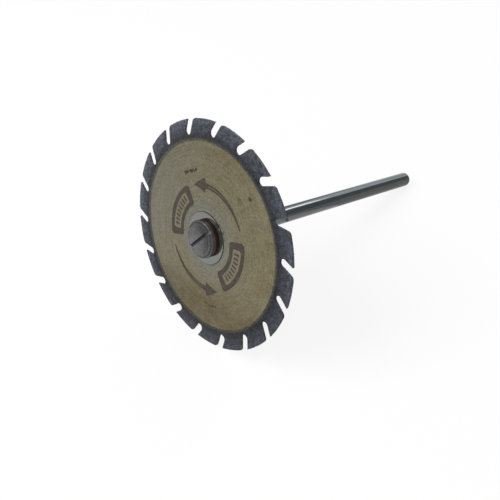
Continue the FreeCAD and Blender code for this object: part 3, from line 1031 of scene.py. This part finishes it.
class CUTTING_DISC_OT_turn_washers(bpy.types.Operator):
    """Turn the polished washer and punch the red fibre washer"""

    bl_idname = "cutting_disc.turn_washers"
    bl_label = "Turn the Washers"

    def execute(self, context):
        size = sizes()
        bore, rim, fibre = size.bore_diameter / 2, size.washer_diameter / 2, size.fibre_diameter / 2
        lay_turned("polished_washer", "clamp_washer", washer_finish(), [
            (bore, size.blank_top, 0),
            (rim, size.blank_top, 0.015 * MM),
            (rim, size.washer_top, 0.03 * MM),
            (bore, size.washer_top, 0),
        ])
        lay_turned("red_fibre_washer", "fibre_washer", fibre_finish(), [
            (bore, size.washer_top, 0),
            (fibre, size.washer_top, 0.04 * MM),
            (fibre, size.head_seat, 0.05 * MM),
            (bore, size.head_seat, 0),
        ])
        return {"FINISHED"}


class CUTTING_DISC_OT_turn_mandrel(bpy.types.Operator):
    """Turn the mandrel: flange, neck and ground shank"""

    bl_idname = "cutting_disc.turn_mandrel"
    bl_label = "Turn the Mandrel"

    def execute(self, context):
        size = sizes()
        hole, shank, flange = size.stem_diameter / 2, size.shank_diameter / 2, size.flange_diameter / 2
        lay_turned("turned_mandrel", "mandrel", shank_finish(), [
            (hole, -size.blank_top, 0),
            (flange, -size.blank_top, 0.03 * MM),
            (flange, size.flange_back, 0.16 * MM),
            (SHOULDER_RADIUS * MM, size.flange_back, 0),
            (NECK_RADIUS * MM, NECK_TOP * MM, 0.12 * MM),
            (NECK_RADIUS * MM, NECK_END * MM, 0.2 * MM),
            (shank, SHANK_START * MM, 0.3 * MM),
            (shank, size.shank_end, size.shank_rounding),
            (0, size.shank_end, 0),
            (0, HOLE_TIP * MM, 0),
            (hole, HOLE_WALL_END * MM, 0),
        ])
        return {"FINISHED"}


# Stage

# Places that the lamps look at and the cards stand round, in metres.
HUB = (-0.0195, 0.0, 0.0144)
SHANK = (0.004, 0.0, 0.0075)
BESIDE_SHANK = (0.008, 0.001)

PLAIN = (1.0, 1.0, 1.0)
COOL = (0.88, 0.99, 1.03)

# Lamps: name, what it looks at, bearing and height in degrees, distance, width, height, power, tint,
# and whether it shows in metal.
LAMPS = (
    ("key_lamp", HUB, 150, 50, 0.42, 0.24, 0.24, 1.6, PLAIN, False),
    ("window_lamp", SHANK, 12, 23.7, 0.32, 0.18, 0.106, 0.036, (0.72, 0.98, 1.08), True),
    ("window_bar", SHANK, 9.5, 31, 0.30, 0.05, 0.07, 0.06, PLAIN, True),
)

# Points on a card's profile: distance from what it stands round, and height above the floor.
NEAR = (0.012, 0.0003)
HALFWAY = (0.075, 0.0003)
FAR = (0.34, 0.0003)
UP = (0.34, 0.24)
OVER = (0.2, 0.42)
TOP = (0.08, 0.45)

# Dim cards: name, what it stands round, first and last bearing in degrees, profile, tint, strength.
CARDS = (
    ("dim_card_right", SHANK, (-62, -5), (FAR, (0.34, 0.22)), COOL, 0.36),
    ("dim_card_shank", BESIDE_SHANK, (-76, -2), ((0.0005, 0.0003), FAR), (1.0, 1.0, 0.96), 0.58),
    ("dim_card_far", SHANK, (33, 60), ((0.06, 0.0003), FAR, (0.34, 0.1)), COOL, 0.5),
    ("dim_card_middle", HUB, (100, 147), (NEAR, HALFWAY), PLAIN, 0.45),
    ("dim_card_upper", HUB, (100, 147), (HALFWAY, FAR, UP, (0.25, 0.32)), PLAIN, 0.13),
    ("dim_card_left", HUB, (147, 190), (NEAR, FAR, UP, OVER, TOP), (1.0, 0.97, 1.05), 0.07),
    ("dim_card_behind", HUB, (190, 298), (NEAR, FAR, UP, OVER, TOP), PLAIN, 0.34),
)
CARD_STEPS = 8

# How bright the floor's own white is where it is seen.
FLOOR_WHITE = 0.86


def add_lamp(name, target, bearing, rise, distance, width, height, power, tint, in_metal):
    """A soft box that looks at a point, and that the camera doesn't see."""
    lamp = bpy.data.lights.new(name, "AREA")
    lamp.shape = "RECTANGLE"
    lamp.size = width
    lamp.size_y = height
    lamp.energy = power
    lamp.color = tint
    level, up = polar(1, math.radians(rise))
    way = Vector((*polar(level, math.radians(bearing)), up))
    holder = new_object(name, lamp)
    holder.location = Vector(target) + way * distance
    holder.rotation_mode = "QUATERNION"
    holder.rotation_quaternion = (Vector(target) - holder.location).to_track_quat("-Z", "Y")
    holder.visible_camera = False
    holder.visible_glossy = in_metal


def glowing(name, tint, strength):
    """A material that only gives light."""
    material = new_material(name)
    nodes = Nodes(material.node_tree)
    glow = nodes.node("ShaderNodeEmission", {"Color": (*tint, 1), "Strength": strength})
    nodes.node("ShaderNodeOutputMaterial", {"Surface": glow.outputs[0]})
    return material


def stage_sheet(name, points, faces, material):
    """A sheet that belongs to the stage and not to the tool."""
    mesh = bpy.data.meshes.new(name)
    mesh.from_pydata(points, [], faces)
    mesh.materials.append(material)
    sheet = new_object(name, mesh)
    return sheet


def add_card(name, middle, bearings, profile, tint, strength):
    """A bent grey card that only shows in metal, between two bearings round a place on the floor."""
    first, last = bearings
    points = []
    for distance, height in profile:
        for step in range(CARD_STEPS + 1):
            x, y = polar(distance, math.radians(first + (last - first) * step / CARD_STEPS))
            points.append((middle[0] + x, middle[1] + y, height))
    wide = CARD_STEPS + 1
    corners = [row * wide + step for row in range(len(profile) - 1) for step in range(CARD_STEPS)]
    faces = [(corner, corner + 1, corner + wide + 1, corner + wide) for corner in corners]
    card = stage_sheet(name, points, faces, glowing(name + "_finish", tint, strength))
    for way in ("camera", "diffuse", "transmission", "volume_scatter", "shadow"):
        setattr(card, "visible_" + way, False)


def seen_directly(nodes):
    """One where the surface is looked at itself, in metal or through glass, and nothing elsewhere."""
    path = nodes.node("ShaderNodeLightPath").outputs
    either = nodes.math("MAXIMUM", path["Is Camera Ray"], path["Is Glossy Ray"])
    return nodes.math("MAXIMUM", either, path["Is Transmission Ray"])


def floor_finish():
    """Pale matt floor that reads as white and keeps a faint shadow."""
    material = new_material("pale_floor_finish")
    nodes = Nodes(material.node_tree)
    matt = nodes.node("ShaderNodeBsdfDiffuse", {"Color": (0.8, 0.8, 0.8, 1)})
    white = nodes.node("ShaderNodeEmission", {"Color": (1, 1, 1, 1), "Strength": 1.0})
    share = nodes.times(seen_directly(nodes), FLOOR_WHITE)
    mixed = nodes.node("ShaderNodeMixShader", {0: share, 1: matt.outputs[0], 2: white.outputs[0]})
    nodes.node("ShaderNodeOutputMaterial", {"Surface": mixed.outputs[0]})
    return material


def set_world(strength):
    """Even light from all round, and white where the camera or a metal sees past the floor."""
    world = bpy.data.worlds.new("studio_air")
    bpy.context.scene.world = world
    world.use_nodes = True
    nodes = Nodes(world.node_tree)
    seen = nodes.between(seen_directly(nodes), strength, 1.0)
    air = nodes.node("ShaderNodeBackground", {"Color": (1, 1, 1, 1), "Strength": seen})
    nodes.node("ShaderNodeOutputWorld", {"Surface": air.outputs[0]})


class CUTTING_DISC_OT_set_stage(bpy.types.Operator):
    """Set the camera, the pale floor, the soft lamps and the dim cards"""

    bl_idname = "cutting_disc.set_stage"
    bl_label = "Set the Stage"

    def execute(self, context):
        stage = studio()
        context.scene.view_settings.view_transform = "Standard"
        self.set_camera(context.scene, stage)
        self.lay_floor(stage.floor_reach)
        set_world(stage.daylight)
        for lamp in LAMPS:
            add_lamp(*lamp)
        for card in CARDS:
            add_card(*card)
        return {"FINISHED"}

    def set_camera(self, scene, stage):
        camera = bpy.data.cameras.new("photo_camera")
        camera.lens = stage.lens
        camera.shift_x, camera.shift_y = stage.shift
        camera.clip_start = MM
        camera.clip_end = 10
        holder = new_object("photo_camera", camera)
        holder.location = stage.camera_place
        holder.rotation_euler = Euler(stage.camera_turn)
        scene.camera = holder

    def lay_floor(self, reach):
        corners = [(-reach, -reach, 0), (reach, -reach, 0), (reach, reach, 0), (-reach, reach, 0)]
        stage_sheet("pale_floor", corners, [(0, 1, 2, 3)], floor_finish())


OPERATORS = (
    CUTTING_DISC_OT_set_stage,
    CUTTING_DISC_OT_finish_blank,
    CUTTING_DISC_OT_coat_rim,
    CUTTING_DISC_OT_print_face,
    CUTTING_DISC_OT_turn_screw,
    CUTTING_DISC_OT_turn_washers,
    CUTTING_DISC_OT_turn_mandrel,
)

GROUPS = {
    "cutting_disc_sizes": CuttingDiscSizes,
    "cutting_disc_colours": CuttingDiscColours,
    "cutting_disc_stage": CuttingDiscStage,
}


class VIEW3D_PT_cutting_disc(bpy.types.Panel):
    """Lists what this add-on builds, and the sizes and colours that it builds from"""

    bl_label = "Cutting Disc"
    bl_space_type = "VIEW_3D"
    bl_region_type = "UI"
    bl_category = "Cutting Disc"

    def draw(self, context):
        layout = self.layout
        for operator in OPERATORS:
            layout.operator(operator.bl_idname)
        for name in GROUPS:
            group = getattr(context.scene, name)
            box = layout.box()
            for key in group.bl_rna.properties.keys():
                if key not in ("rna_type", "name"):
                    box.prop(group, key)


CLASSES = (*GROUPS.values(), *OPERATORS, VIEW3D_PT_cutting_disc)


def register():
    for each in CLASSES:
        bpy.utils.register_class(each)
    for name, group in GROUPS.items():
        setattr(bpy.types.Scene, name, bpy.props.PointerProperty(type=group))


def unregister():
    for name in GROUPS:
        delattr(bpy.types.Scene, name)
    for each in reversed(CLASSES):
        bpy.utils.unregister_class(each)


def main():
    register()
    for operator in OPERATORS:
        getattr(bpy.ops.cutting_disc, operator.bl_idname.split(".")[1])()


if __name__ == "__main__":
    main()
